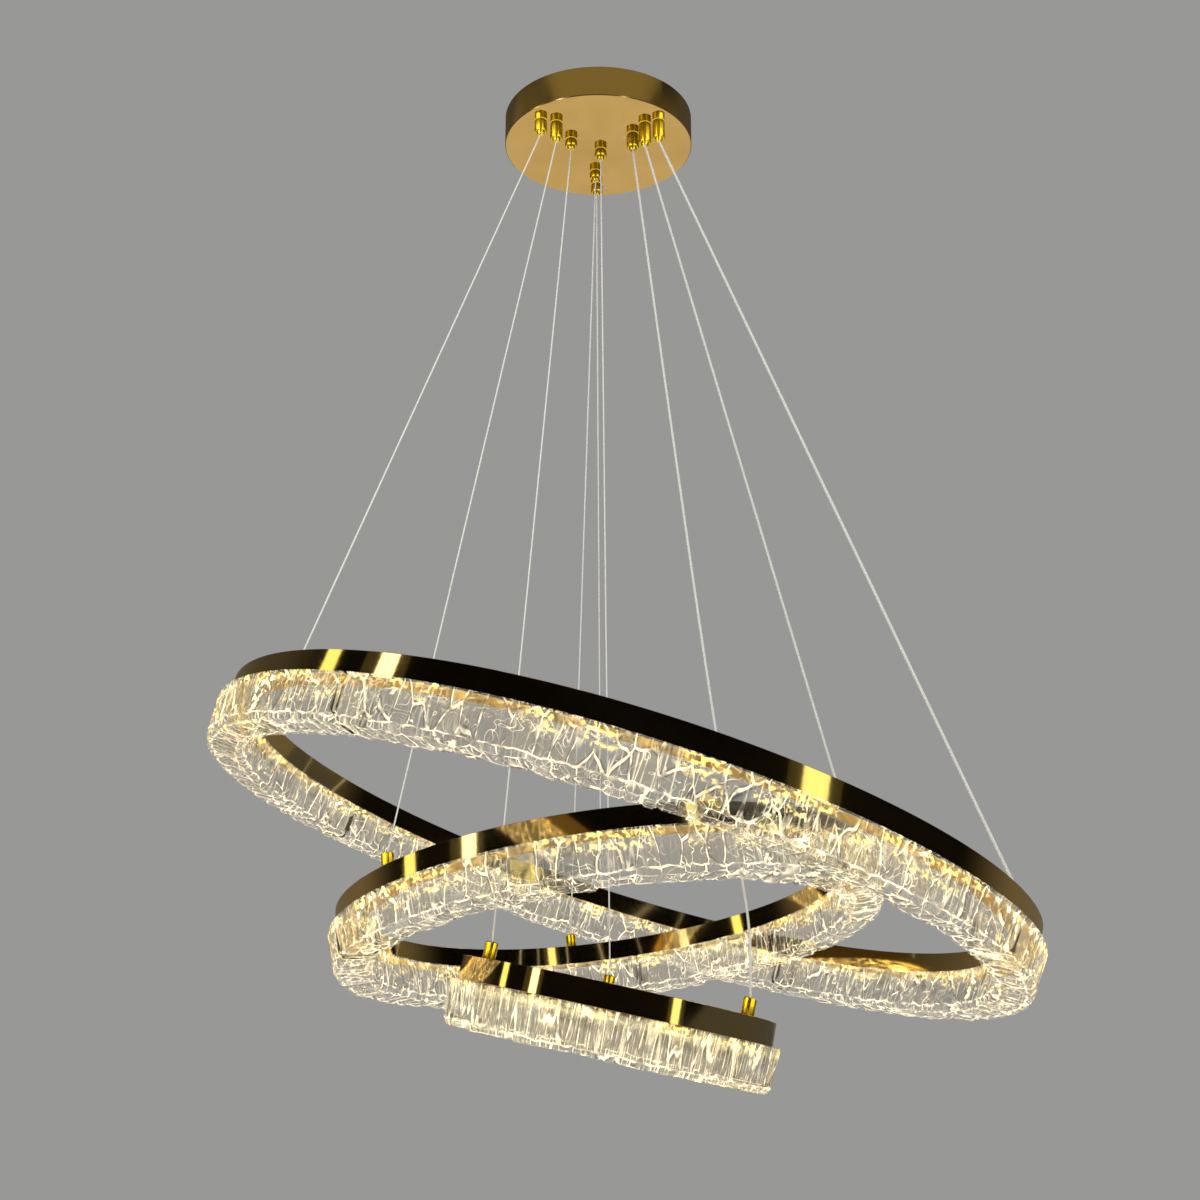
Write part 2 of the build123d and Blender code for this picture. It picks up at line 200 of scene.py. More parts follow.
# cloudy patches and fine scratches, which both change the roughness between Low and High
polishLook = {
    "cloudDetail": 3.0, "fineDetail": 2.0, "fineTimes": 22.0, "cloudShare": 0.75,
    "from": 0.35, "to": 0.68,
}


def polishGroup(look):
    group = bpy.data.node_groups.new("polishWear", "ShaderNodeTree")
    inside, outside = groupSockets(
        group,
        [
            ("Vector", "NodeSocketVector", None),
            ("Scale", "NodeSocketFloat", 60.0),
            ("Low", "NodeSocketFloat", 0.05),
            ("High", "NodeSocketFloat", 0.15),
        ],
        [("Roughness", "NodeSocketFloat"), ("Height", "NodeSocketFloat")],
    )
    scale = inside.outputs["Scale"]
    cloud = noise(group, inside.outputs["Vector"], scale, look["cloudDetail"])["Fac"]
    fineScale = maths(group, "MULTIPLY", scale, look["fineTimes"])
    fine = noise(group, inside.outputs["Vector"], fineScale, look["fineDetail"])["Fac"]
    mixed = maths(group, "MULTIPLY", cloud, look["cloudShare"])
    mixed = maths(group, "ADD", mixed, maths(group, "MULTIPLY", fine, 1.0 - look["cloudShare"]))
    span = group.nodes.new("ShaderNodeMapRange")
    join(group, mixed, span.inputs["Value"])
    span.inputs["From Min"].default_value = look["from"]
    span.inputs["From Max"].default_value = look["to"]
    join(group, inside.outputs["Low"], span.inputs["To Min"])
    join(group, inside.outputs["High"], span.inputs["To Max"])
    join(group, span.outputs["Result"], outside.inputs["Roughness"])
    join(group, fine, outside.inputs["Height"])
    return group


polish = polishGroup(polishLook)
metalFinishes = {
    "mirrorGold": {
        "colour": (0.85, 0.63, 0.27), "metallic": 1.0,
        "low": 0.045, "high": 0.08, "scale": 14.0, "bump": 0.004,
    },
    "wallGold": {
        "colour": (0.85, 0.63, 0.27), "metallic": 1.0,
        "low": 0.14, "high": 0.19, "scale": 14.0, "bump": 0.004,
    },
    "satinGold": {
        "colour": (0.86, 0.55, 0.16), "metallic": 1.0,
        "low": 0.34, "high": 0.42, "scale": 18.0, "bump": 0.01,
    },
    "brightGold": {
        "colour": (1.0, 0.68, 0.03), "metallic": 0.92,
        "low": 0.09, "high": 0.14, "scale": 90.0, "bump": 0.0,
    },
    "insideGold": {
        "colour": (0.90, 0.77, 0.44), "metallic": 1.0,
        "low": 0.30, "high": 0.40, "scale": 30.0, "bump": 0.01,
    },
    "zincSteel": {
        "colour": (0.62, 0.63, 0.64), "metallic": 1.0,
        "low": 0.28, "high": 0.45, "scale": 80.0, "bump": 0.03,
    },
}


# a material whose roughness and bump come from the polish group
def wornMaterial(name, finish):
    material, tree, shader = newTree(name)
    place = tree.nodes.new("ShaderNodeTexCoord").outputs["Object"]
    wear = useGroup(tree, polish, place, Scale=finish["scale"], Low=finish["low"], High=finish["high"])
    join(tree, wear.outputs["Roughness"], shader.inputs["Roughness"])
    bump = tree.nodes.new("ShaderNodeBump")
    bump.inputs["Strength"].default_value = finish["bump"]
    bump.inputs["Distance"].default_value = finish["bumpDepth"]
    join(tree, wear.outputs["Height"], bump.inputs["Height"])
    join(tree, bump.outputs["Normal"], shader.inputs["Normal"])
    shader.inputs["Base Color"].default_value = (*finish["colour"], 1)
    shader.inputs["Metallic"].default_value = finish["metallic"]
    return material


metalBumpDepth = 0.001
metals = {}
for name, finish in metalFinishes.items():
    metals[name] = wornMaterial(name, {**finish, "bumpDepth": metalBumpDepth})
plasticFinish = {"metallic": 0.0, "scale": 120.0, "spread": 0.1, "bump": 0.1, "bumpDepth": 0.0005}
plasticLooks = {
    "driverWhite": {"colour": (0.80, 0.80, 0.78), "roughness": 0.45},
    "nylon": {"colour": (0.82, 0.81, 0.76), "roughness": 0.4},
    "boardWhite": {"colour": (0.85, 0.84, 0.80), "roughness": 0.3},
    "paleWire": {"colour": (0.92, 0.91, 0.88), "roughness": 0.35},
}


def plainPlastic(name, colour, roughness):
    high = roughness + plasticFinish["spread"]
    return wornMaterial(name, {**plasticFinish, "colour": colour, "low": roughness, "high": high})


plastics = {name: plainPlastic(name, **look) for name, look in plasticLooks.items()}
ledLook = {"colour": (1.0, 0.80, 0.40), "strength": 13.0}


def lampMaterial(name, colour, strength):
    material, _, shader = newTree(name)
    shader.inputs["Base Color"].default_value = (*colour, 1)
    shader.inputs["Emission Color"].default_value = (*colour, 1)
    shader.inputs["Emission Strength"].default_value = strength
    return material


ledLight = lampMaterial("ledLight", **ledLook)


# the acrylic's cells in metres, width along the ring and height down the wall:
# blocks on the two big rings, fine flutes on the small one
# some of these set painted light: how strongly the lines, the glints of LED light and a pale glow shine,
# and the colour of the lines' glow
iceLooks = {
    "block": {
        "width": 0.0175, "height": 0.044, "warp": 0.6, "relief": 0.0024, "line": 0.044, "veins": 0.9,
        "ledGlint": 1.4, "paleGlow": 0.17, "bright": 1.05, "darkPatch": 0.80, "lineGlowTint": (1.0, 0.87, 0.60),
    },
    "flute": {
        "width": 0.0105, "height": 0.085, "warp": 0.55, "relief": 0.0016, "line": 0.062, "veins": 0.2,
        "ledGlint": 1.0, "paleGlow": 0.07, "bright": 1.25, "darkPatch": 0.62, "lineGlowTint": (1.0, 0.84, 0.52),
    },
}
kneeDepth = 0.0343
# the colours of the painted glints of LED light, of the acrylic itself, and of the painted shade beside
# the lines
iceTint = {"ledGlint": (1.0, 0.73, 0.18), "body": (0.97, 0.96, 0.92), "shadeRim": (0.035, 0.03, 0.022)}
# footShift gives the foot its own cells
iceCell = {"footShift": 3.7, "warpScale": 1.1, "randomness": 0.92}


# the acrylic's facets: how far a facet's edge is, its random colour, and the way from its middle
def iceCells(tree, u, depth, width, height, warp):
    below = maths(tree, "GREATER_THAN", depth, kneeDepth)
    row = maths(tree, "DIVIDE", depth, height)
    row = maths(tree, "ADD", row, maths(tree, "MULTIPLY", below, iceCell["footShift"]))
    cell = tree.nodes.new("ShaderNodeCombineXYZ")
    join(tree, maths(tree, "DIVIDE", u, width), cell.inputs[0])
    join(tree, row, cell.inputs[1])
    shift = addNode(tree, "ShaderNodeVectorMath", operation="SUBTRACT")
    join(tree, noise(tree, cell.outputs[0], iceCell["warpScale"], 1.0)["Color"], shift.inputs[0])
    shift.inputs[1].default_value = (0.5, 0.5, 0.5)
    scaled = addNode(tree, "ShaderNodeVectorMath", operation="SCALE")
    join(tree, shift.outputs[0], scaled.inputs[0])
    join(tree, warp, scaled.inputs["Scale"])
    warped = addNode(tree, "ShaderNodeVectorMath", operation="ADD")
    join(tree, cell.outputs[0], warped.inputs[0])
    join(tree, scaled.outputs[0], warped.inputs[1])
    edge = addNode(tree, "ShaderNodeTexVoronoi", voronoi_dimensions="2D", feature="DISTANCE_TO_EDGE")
    middle = addNode(tree, "ShaderNodeTexVoronoi", voronoi_dimensions="2D")
    for texture in (edge, middle):
        texture.inputs["Scale"].default_value = 1.0
        texture.inputs["Randomness"].default_value = iceCell["randomness"]
        join(tree, warped.outputs[0], texture.inputs["Vector"])
    away = addNode(tree, "ShaderNodeVectorMath", operation="SUBTRACT")
    join(tree, warped.outputs[0], away.inputs[0])
    join(tree, middle.outputs["Position"], away.inputs[1])
    return edge.outputs["Distance"], middle.outputs["Color"], away.outputs[0]


# the lines on the acrylic, which its shader paints as glowing highlights, and the painted shade beside
# them; a row of numbers is a soft step: low, high, and what it starts and ends at
icePattern = {
    "unevenScale": 95.0, "uneven": (0.34, 0.56, 0.3, 1.0),
    "line": (0.45, 1.0, 1.0, 0.0), "shadeRim": (1.1, 2.4, 0.9, 0.0),
    "fluteWidth": 0.42, "fluteHeight": 2.2, "fluteLine": (0.02, 0.10, 1.0, 0.0),
    "fluteScale": 17.0, "fluteWhere": (0.44, 0.58, 0.12, 0.8),
    "waveScale": 60.0, "waveDepth": 0.011, "footHeight": 0.0095, "crease": (0.0004, 0.0011, 1.0, 0.0),
    "curlScale": 62.0, "curlDetail": 1.2, "curlTwist": 1.1, "curl": (0.003, 0.016, 1.0, 0.0),
    "patchScale": 38.0, "patch": (0.38, 0.52),
}


def iceGroup(look):
    group = bpy.data.node_groups.new("iceLines", "ShaderNodeTree")
    inside, outside = groupSockets(
        group,
        [
            ("Vector", "NodeSocketVector", None), ("Width", "NodeSocketFloat", 0.02),
            ("Height", "NodeSocketFloat", 0.05), ("Warp", "NodeSocketFloat", 0.4),
            ("Line", "NodeSocketFloat", 0.05), ("Veins", "NodeSocketFloat", 0.5),
        ],
        [("Line", "NodeSocketFloat"), ("Rim", "NodeSocketFloat"), ("Tone", "NodeSocketVector")],
    )
    vector, width, height = (inside.outputs[name] for name in ("Vector", "Width", "Height"))
    u, depth, _ = separate(group, vector)
    edge, tone, _ = iceCells(group, u, depth, width, height, inside.outputs["Warp"])
    share = maths(group, "DIVIDE", edge, inside.outputs["Line"])
    strength = smooth(group, noise(group, vector, look["unevenScale"], 1.0)["Fac"], *look["uneven"])
    line = maths(group, "MULTIPLY", smooth(group, share, *look["line"]), strength)
    # a dark rim beside each line, painted shade
    shadeRim = smooth(group, share, *look["shadeRim"])
    # narrow upright flutes that come and go along the ring, their edges painted glowing like the lines
    flute, _, _ = iceCells(
        group, u, depth, maths(group, "MULTIPLY", width, look["fluteWidth"]),
        maths(group, "MULTIPLY", height, look["fluteHeight"]), inside.outputs["Warp"],
    )
    where = smooth(group, noise(group, vector, look["fluteScale"])["Fac"], *look["fluteWhere"])
    fluteLine = maths(group, "MULTIPLY", smooth(group, flute, *look["fluteLine"]), where)
    line = maths(group, "MAXIMUM", line, maths(group, "MULTIPLY", fluteLine, strength))
    # the crease where the wall meets the foot, and the foot's lower edge, both a little wavy and painted
    # glowing like the lines
    wave = maths(group, "SUBTRACT", noise(group, vector, look["waveScale"])["Fac"], 0.5)
    level = maths(group, "ADD", depth, maths(group, "MULTIPLY", wave, look["waveDepth"]))
    crease = maths(group, "ABSOLUTE", maths(group, "SUBTRACT", level, kneeDepth))
    footDepth = kneeDepth + look["footHeight"]
    footEdge = maths(group, "ABSOLUTE", maths(group, "SUBTRACT", level, footDepth))
    creaseLine = smooth(group, maths(group, "MINIMUM", crease, footEdge), *look["crease"])
    creaseLine = maths(group, "MULTIPLY", creaseLine, strength)
    # fine squiggles inside the blocks, painted glowing like the lines
    curl = noise(group, vector, look["curlScale"], look["curlDetail"], look["curlTwist"])["Fac"]
    contour = maths(group, "ABSOLUTE", maths(group, "SUBTRACT", curl, 0.5))
    patch = smooth(group, noise(group, vector, look["patchScale"])["Fac"], *look["patch"])
    vein = maths(group, "MULTIPLY", smooth(group, contour, *look["curl"]), patch)
    vein = maths(group, "MULTIPLY", vein, inside.outputs["Veins"])
    line = maths(group, "MAXIMUM", maths(group, "MAXIMUM", line, creaseLine), vein)
    join(group, line, outside.inputs["Line"])
    join(group, maths(group, "SUBTRACT", shadeRim, line, clamp=True), outside.inputs["Rim"])
    join(group, tone, outside.inputs["Tone"])
    return group


iceLines = iceGroup(icePattern)
# how the painted glowing lines, the painted glints of LED light and the dark parts, mostly painted
# shade, are mixed, with soft steps as above
iceShading = {
    "hiddenShare": 0.75, "topBand": (0.006, 0.011, 1.0, 0.0), "topGlow": 0.15,
    "spotScale": 230.0, "spots": (0.50, 0.58), "driftScale": 26.0, "drift": (0.42, 0.56, 0.12, 1.0),
    "darkPatchSoft": 0.05, "darkPatchDepth": (0.014, 0.024, 1.0, 0.0), "darkPatchShare": 0.7, "shadeRimShare": 0.8,
    "slitTop": (0.008, 0.011), "slitFoot": (0.029, 0.032, 1.0, 0.0),
    "bodySpread": 0.3, "body": 0.22, "leastAlpha": 0.08, "roughness": 0.05, "ior": 1.2,
}


def attribute(tree, name):
    return addNode(tree, "ShaderNodeAttribute", attribute_name=name).outputs["Fac"]


def iceMaterial(name, look, shading):
    material, tree, shader = newTree(name)
    chart = addNode(tree, "ShaderNodeUVMap", uv_map="UVMap").outputs[0]
    lines = useGroup(
        tree, iceLines, chart, Width=look["width"], Height=look["height"],
        Warp=look["warp"], Line=look["line"], Veins=look["veins"],
    ).outputs
    depth = separate(tree, chart)[1]
    tone = separate(tree, lines["Tone"])
    cut = attribute(tree, "cutFace")
    # the rays that leave through the back of a wall see its lines faintly
    hidden = tree.nodes.new("ShaderNodeNewGeometry").outputs["Backfacing"]
    front = maths(tree, "SUBTRACT", 1.0, maths(tree, "MULTIPLY", hidden, shading["hiddenShare"]))
    shown = maths(tree, "MULTIPLY", cut, front)
    line = maths(tree, "MULTIPLY", lines["Line"], shown)
    # the dark rim beside each line is painted shade
    shadeRim = maths(tree, "MULTIPLY", lines["Rim"], shown)
    # painted light: glints of the LEDs' light in gold spots, and a pale painted glow at the top of the
    # wall, where the light comes in
    high = maths(tree, "MULTIPLY", smooth(tree, depth, *shading["topBand"]), cut)
    spots = smooth(tree, noise(tree, chart, shading["spotScale"], 1.0)["Fac"], *shading["spots"])
    drift = smooth(tree, noise(tree, chart, shading["driftScale"])["Fac"], *shading["drift"])
    ledGlint = maths(tree, "MULTIPLY", maths(tree, "MULTIPLY", high, spots), drift)
    # a few facets are darker near their top
    darkPatch = smooth(tree, tone[2], look["darkPatch"], look["darkPatch"] + shading["darkPatchSoft"])
    darkPatch = maths(tree, "MULTIPLY", darkPatch, shown)
    darkPatch = maths(tree, "MULTIPLY", darkPatch, smooth(tree, depth, *shading["darkPatchDepth"]))
    darkPatch = maths(tree, "MULTIPLY", darkPatch, shading["darkPatchShare"])
    dark = maths(tree, "MAXIMUM", maths(tree, "MULTIPLY", shadeRim, shading["shadeRimShare"]), darkPatch)
    # the slit between two arcs is painted dark half way down the wall, painted shade in the gap
    slit = smooth(tree, depth, *shading["slitTop"])
    slit = maths(tree, "MULTIPLY", slit, smooth(tree, depth, *shading["slitFoot"]))
    slit = maths(tree, "MULTIPLY", slit, attribute(tree, "endFace"))
    dark = maths(tree, "MAXIMUM", dark, slit)
    line = maths(tree, "MULTIPLY", line, maths(tree, "SUBTRACT", 1.0, slit))
    join(tree, mixColour(tree, dark, iceTint["body"], iceTint["shadeRim"]), shader.inputs["Base Color"])
    join(tree, mixColour(tree, ledGlint, look["lineGlowTint"], iceTint["ledGlint"]), shader.inputs["Emission Color"])
    # painted light: the pale glow, the lines and the glints of LED light shine by emission, though the
    # acrylic is no lamp
    paleGlow = maths(tree, "MULTIPLY", maths(tree, "MULTIPLY", tone[1], look["paleGlow"]), shown)
    paleGlow = maths(tree, "MULTIPLY", paleGlow, maths(tree, "SUBTRACT", 1.0, dark, clamp=True))
    paleGlow = maths(tree, "ADD", paleGlow, maths(tree, "MULTIPLY", high, shading["topGlow"]))
    glow = maths(tree, "ADD", paleGlow, maths(tree, "MULTIPLY", line, look["bright"]))
    glow = maths(tree, "ADD", glow, maths(tree, "MULTIPLY", ledGlint, look["ledGlint"]))
    join(tree, glow, shader.inputs["Emission Strength"])
    body = maths(tree, "ADD", maths(tree, "MULTIPLY", tone[0], shading["bodySpread"]), shading["body"])
    body = maths(tree, "MULTIPLY", shown, body)
    solid = maths(tree, "MAXIMUM", maths(tree, "MAXIMUM", line, ledGlint), dark)
    solid = maths(tree, "MAXIMUM", solid, body)
    join(tree, maths(tree, "MAXIMUM", solid, shading["leastAlpha"], clamp=True), shader.inputs["Alpha"])
    shader.inputs["Roughness"].default_value = shading["roughness"]
    shader.inputs["IOR"].default_value = shading["ior"]
    shader.inputs["Transmission Weight"].default_value = 1.0
    return material


iceMaterials = {name: iceMaterial(f"{name}Ice", look, iceShading) for name, look in iceLooks.items()}
# the flat cords' clear jacket, and the fainter cut ends of wire beside two grippers
jacketLook = {"colour": (0.93, 0.93, 0.91), "roughness": 0.2, "alpha": 0.6, "endAlpha": 0.3}


def jacketMaterial(name, alpha):
    material, _, shader = newTree(name)
    shader.inputs["Base Color"].default_value = (*jacketLook["colour"], 1)
    shader.inputs["Roughness"].default_value = jacketLook["roughness"]
    shader.inputs["Alpha"].default_value = alpha
    return material


jacket = jacketMaterial("clearJacket", jacketLook["alpha"])
clearEnd = jacketMaterial("clearEnd", jacketLook["endAlpha"])


# above these angles, in degrees, an edge stays sharp
sharpAngles = {"turned": 15, "ice": 38, "wire": 50, "fitting": 24}


def shadeRound(mesh, kind):
    mesh.shade_smooth()
    mesh.set_sharp_from_angle(angle=math.radians(sharpAngles[kind]))


def addObject(name, mesh):
    piece = bpy.data.objects.new(name, mesh)
    scene.collection.objects.link(piece)
    return piece


# an outline of radius and height, turned about the upright axis
def lathe(name, outline, steps, material, place=None):
    verts = []
    for step in range(steps):
        turn = 2 * math.pi * step / steps
        for radius, height in outline:
            verts.append((radius * math.cos(turn), radius * math.sin(turn), height))
    count = len(outline)
    faces = []
    for step in range(steps):
        after = (step + 1) % steps
        for k in range(count):
            n = (k + 1) % count
            faces.append((step * count + k, after * count + k, after * count + n, step * count + n))
    mesh = bpy.data.meshes.new(name)
    mesh.from_pydata(verts, [], faces)
    shadeRound(mesh, "turned")
    if place is not None:
        mesh.transform(place)
    mesh.materials.append(material)
    return addObject(name, mesh)


# the lips and the inside of the trough are the first faces round the outline
gutterShape = {"height": 0.0205, "sheet": 0.001, "edge": 0.0003, "steps": 360, "insideFaces": 5}


def gutterOutline(radius, shape):
    inner = radius - gutterWidth
    sheet, edge, foot = shape["sheet"], shape["edge"], -shape["height"]
    return [
        (inner, foot), (inner + sheet, foot), (inner + sheet, -sheet), (radius - sheet, -sheet),
        (radius - sheet, foot), (radius, foot), (radius, -edge), (radius - edge, 0),
        (inner + edge, 0), (inner, -edge),
    ]


def addGutters():
    for name, ring in rings.items():
        outline = gutterOutline(ring["radius"], gutterShape)
        finish, place = metals["mirrorGold"], ringMatrix(ring)
        piece = lathe(f"{name}Gutter", outline, gutterShape["steps"], finish, place)
        piece.data.materials.append(metals["insideGold"])
        for face in piece.data.polygons:
            if face.index % len(outline) < gutterShape["insideFaces"]:
                face.material_index = 1
        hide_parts(f"{name}_ring_channel")
        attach(piece, f"{name}_ring")


addGutters()
print("gutters turned")

canopyShape = {
    "radius": 0.1, "height": 0.032, "wall": 0.0012, "floor": 0.0015,
    "edge": 0.0008, "topEdge": 0.0002, "middle": 0.0001, "steps": 256,
}


def addCanopy(shape):
    outer, edge, topEdge, middle = shape["radius"], shape["edge"], shape["topEdge"], shape["middle"]
    inner, bottom = outer - shape["wall"], -shape["height"]
    floor = bottom + shape["floor"]
    outline = [
        (middle, bottom), (outer - edge, bottom), (outer, bottom + edge), (outer, -topEdge),
        (outer - topEdge, 0), (inner, 0), (inner, floor), (middle, floor),
    ]
    piece = lathe("canopyShell", outline, shape["steps"], metals["wallGold"])
    piece.data.materials.append(metals["satinGold"])
    for face in piece.data.polygons:
        if face.index % len(outline) == 0:  # the disc, between the first two points
            face.material_index = 1
    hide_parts("canopy_cover")
    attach(piece, "canopy")


addCanopy(canopyShape)
print("canopy turned")


# the section of an arc: metres from the gutter's sides and below its top plate
iceShape = {
    "outerTop": 0.007, "outerKnee": 0.004, "innerTop": 0.0055, "innerKnee": 0.0075,
    "top": -0.0208, "knee": -0.055, "foot": -0.060, "footInset": 0.0026,
    "tongueTop": -0.015, "tongueSide": 0.0013, "tongueWidth": 0.0036, "troughFloor": -0.051,
    "step": 0.0018, "gap": 0.004,
}


# radius, height, and whether the face from this point to the next is cut into facets
def iceSection(radius, shape):
    inner = radius - gutterWidth
    outerTrough = radius - shape["tongueSide"] - shape["tongueWidth"]
    innerTrough = inner + shape["tongueSide"] + shape["tongueWidth"]
    return [
        ((outerTrough + innerTrough) / 2, shape["troughFloor"], False),
        (outerTrough, shape["troughFloor"], False),
        (outerTrough, shape["tongueTop"], False),
        (radius - shape["tongueSide"], shape["tongueTop"], False),
        (radius - shape["tongueSide"], shape["top"], False),
        (radius + shape["outerTop"], shape["top"], True),
        (radius + shape["outerKnee"], shape["knee"], True),
        (radius + shape["outerKnee"] - shape["footInset"], shape["foot"], True),
        (inner - shape["innerKnee"] + shape["footInset"], shape["foot"], True),
        (inner - shape["innerKnee"], shape["knee"], True),
        (inner - shape["innerTop"], shape["top"], False),
        (inner + shape["tongueSide"], shape["top"], False),
        (inner + shape["tongueSide"], shape["tongueTop"], False),
        (innerTrough, shape["tongueTop"], False),
        (innerTrough, shape["troughFloor"], False),
    ]


def sectionCurve(name, outline, radius, step):
    points = []
    for (r, z, cut), (nextR, nextZ, _) in zip(outline, outline[1:] + outline[:1]):
        length = math.hypot(nextR - r, nextZ - z)
        parts = max(1, round(length / step)) if cut else 1
        for k in range(parts):
            points.append((r + (nextR - r) * k / parts - radius, -z - (nextZ - z) * k / parts))
    data = bpy.data.curves.new(name, "CURVE")
    data.dimensions = "3D"
    spline = data.splines.new("POLY")
    spline.points.add(len(points) - 1)
    for point, (x, y) in zip(spline.points, points):
        point.co = (x, y, 0, 1)
    spline.use_cyclic_u = True
    return bpy.data.objects.new(name, data)


# how long the outline is from its first point to the one numbered last
def pathLength(outline, last):
    total = 0.0
    for (r, z, _), (nextR, nextZ, _) in zip(outline[:last], outline[1:last + 1]):
        total += math.hypot(nextR - r, nextZ - z)
    return total


def captureShare(tree, geometry, value):
    node = tree.nodes.new("GeometryNodeCaptureAttribute")
    node.capture_items.new("FLOAT", "share")
    join(tree, geometry, node.inputs["Geometry"])
    join(tree, value, node.inputs["share"])
    return node.outputs["Geometry"], node.outputs["share"]


def storeAttribute(tree, geometry, kind, name, value, domain="POINT"):
    node = addNode(tree, "GeometryNodeStoreNamedAttribute", data_type=kind, domain=domain)
    node.inputs["Name"].default_value = name
    join(tree, geometry, node.inputs["Geometry"])
    join(tree, value, node.inputs["Value"])
    return node.outputs["Geometry"]


# shares of the Relief input, and soft steps as above, over metres of depth or of way to the arc's end
iceRelief = {
    "tilt": 1.8, "level": 0.7, "groove": (0.0, 0.14, 1.0, 0.0), "grooveDepth": 0.7,
    "edgeFade": (0.0, 0.003), "cutEdge": (-0.0006, 0.0004), "endEdge": (0.0012, 0.0030, 1.0, 0.0),
}


# one arc: the section swept along the ring, its outer faces raised and sunk in cells
def iceTree(look):
    tree = bpy.data.node_groups.new("iceArc", "GeometryNodeTree")
    inputs = [
        ("Section", "NodeSocketObject", None), ("Radius", "NodeSocketFloat", 0.389),
        ("Start", "NodeSocketFloat", 0.0), ("Sweep", "NodeSocketFloat", 1.5),
        ("Steps", "NodeSocketInt", 300), ("Seed", "NodeSocketFloat", 0.0),
        ("Cut From", "NodeSocketFloat", 0.05), ("Cut To", "NodeSocketFloat", 0.15),
        ("Cell Width", "NodeSocketFloat", 0.017), ("Cell Height", "NodeSocketFloat", 0.05),
        ("Warp", "NodeSocketFloat", 0.35), ("Relief", "NodeSocketFloat", 0.002),
        ("Material", "NodeSocketMaterial", None),
    ]
    inside, outside = groupSockets(tree, inputs, [("Geometry", "NodeSocketGeometry")])
    given = inside.outputs
    arc = addNode(tree, "GeometryNodeCurveArc", mode="RADIUS")
    join(tree, given["Steps"], arc.inputs["Resolution"])
    join(tree, given["Radius"], arc.inputs["Radius"])
    join(tree, given["Start"], arc.inputs["Start Angle"])
    join(tree, given["Sweep"], arc.inputs["Sweep Angle"])
    section = tree.nodes.new("GeometryNodeObjectInfo")
    join(tree, given["Section"], section.inputs["Object"])
    share = tree.nodes.new("GeometryNodeSplineParameter").outputs
    arcCurve, alongShare = captureShare(tree, arc.outputs["Curve"], share["Factor"])
    profile, around = captureShare(tree, section.outputs["Geometry"], share["Length"])
    sweep = tree.nodes.new("GeometryNodeCurveToMesh")
    sweep.inputs["Fill Caps"].default_value = True
    join(tree, arcCurve, sweep.inputs["Curve"])
    join(tree, profile, sweep.inputs["Profile Curve"])
    arcLength = maths(tree, "MULTIPLY", given["Radius"], given["Sweep"])
    along = maths(tree, "MULTIPLY", alongShare, arcLength)
    u = maths(tree, "ADD", along, given["Seed"])
    # depth below the top of the cut faces, on the outer wall and on the inner one
    rise = maths(tree, "SUBTRACT", around, given["Cut From"])
    fall = maths(tree, "SUBTRACT", given["Cut To"], around)
    depth = maths(tree, "MINIMUM", rise, fall)
    # each cell is a facet with its own height and tilt, and a groove around it
    edge, tone, away = iceCells(tree, u, depth, given["Cell Width"], given["Cell Height"], given["Warp"])
    first, second, third = (maths(tree, "SUBTRACT", part, 0.5) for part in separate(tree, tone))
    awayU, awayV, _ = separate(tree, away)
    tiltU = maths(tree, "MULTIPLY", second, awayU)
    tiltV = maths(tree, "MULTIPLY", third, awayV)
    tilt = maths(tree, "MULTIPLY", maths(tree, "ADD", tiltU, tiltV), look["tilt"])
    level = maths(tree, "MULTIPLY", first, look["level"])
    groove = maths(tree, "MULTIPLY", smooth(tree, edge, *look["groove"]), look["grooveDepth"])
    height = maths(tree, "SUBTRACT", maths(tree, "ADD", level, tilt), groove)
    height = maths(tree, "MULTIPLY", height, given["Relief"])
    height = maths(tree, "MULTIPLY", height, smooth(tree, depth, *look["edgeFade"]))
    outward = addNode(tree, "ShaderNodeVectorMath", operation="SCALE")
    join(tree, tree.nodes.new("GeometryNodeInputNormal").outputs[0], outward.inputs[0])
    join(tree, height, outward.inputs["Scale"])
    shape = tree.nodes.new("GeometryNodeSetPosition")
    join(tree, sweep.outputs["Mesh"], shape.inputs["Geometry"])
    join(tree, outward.outputs[0], shape.inputs["Offset"])
    # what the shader reads: the place on the wall, the cut faces and the arc's two ends
    chart = tree.nodes.new("ShaderNodeCombineXYZ")
    join(tree, u, chart.inputs[0])
    join(tree, depth, chart.inputs[1])
    result = shape.outputs["Geometry"]
    result = storeAttribute(tree, result, "FLOAT2", "UVMap", chart.outputs[0], "CORNER")
    result = storeAttribute(tree, result, "FLOAT", "cutFace", smooth(tree, depth, *look["cutEdge"]))
    toEnd = maths(tree, "MINIMUM", along, maths(tree, "SUBTRACT", arcLength, along))
    result = storeAttribute(tree, result, "FLOAT", "endFace", smooth(tree, toEnd, *look["endEdge"]))
    real = tree.nodes.new("GeometryNodeRealizeInstances")
    join(tree, result, real.inputs["Geometry"])
    paint = tree.nodes.new("GeometryNodeSetMaterial")
    join(tree, real.outputs["Geometry"], paint.inputs["Geometry"])
    join(tree, given["Material"], paint.inputs["Material"])
    join(tree, paint.outputs["Geometry"], outside.inputs["Geometry"])
    return tree


def setInputs(modifier, tree, values):
    for item in tree.interface.items_tree:
        if item.item_type == "SOCKET" and item.in_out == "INPUT" and item.name in values:
            modifier[item.identifier] = values[item.name]


# the mesh that a curve or a modifier gives; the object that carries it is taken away
def finalMesh(holder):
    graph = bpy.context.evaluated_depsgraph_get()
    mesh = bpy.data.meshes.new_from_object(holder.evaluated_get(graph))
    bpy.data.objects.remove(holder)
    return mesh


iceArcTree = iceTree(iceRelief)


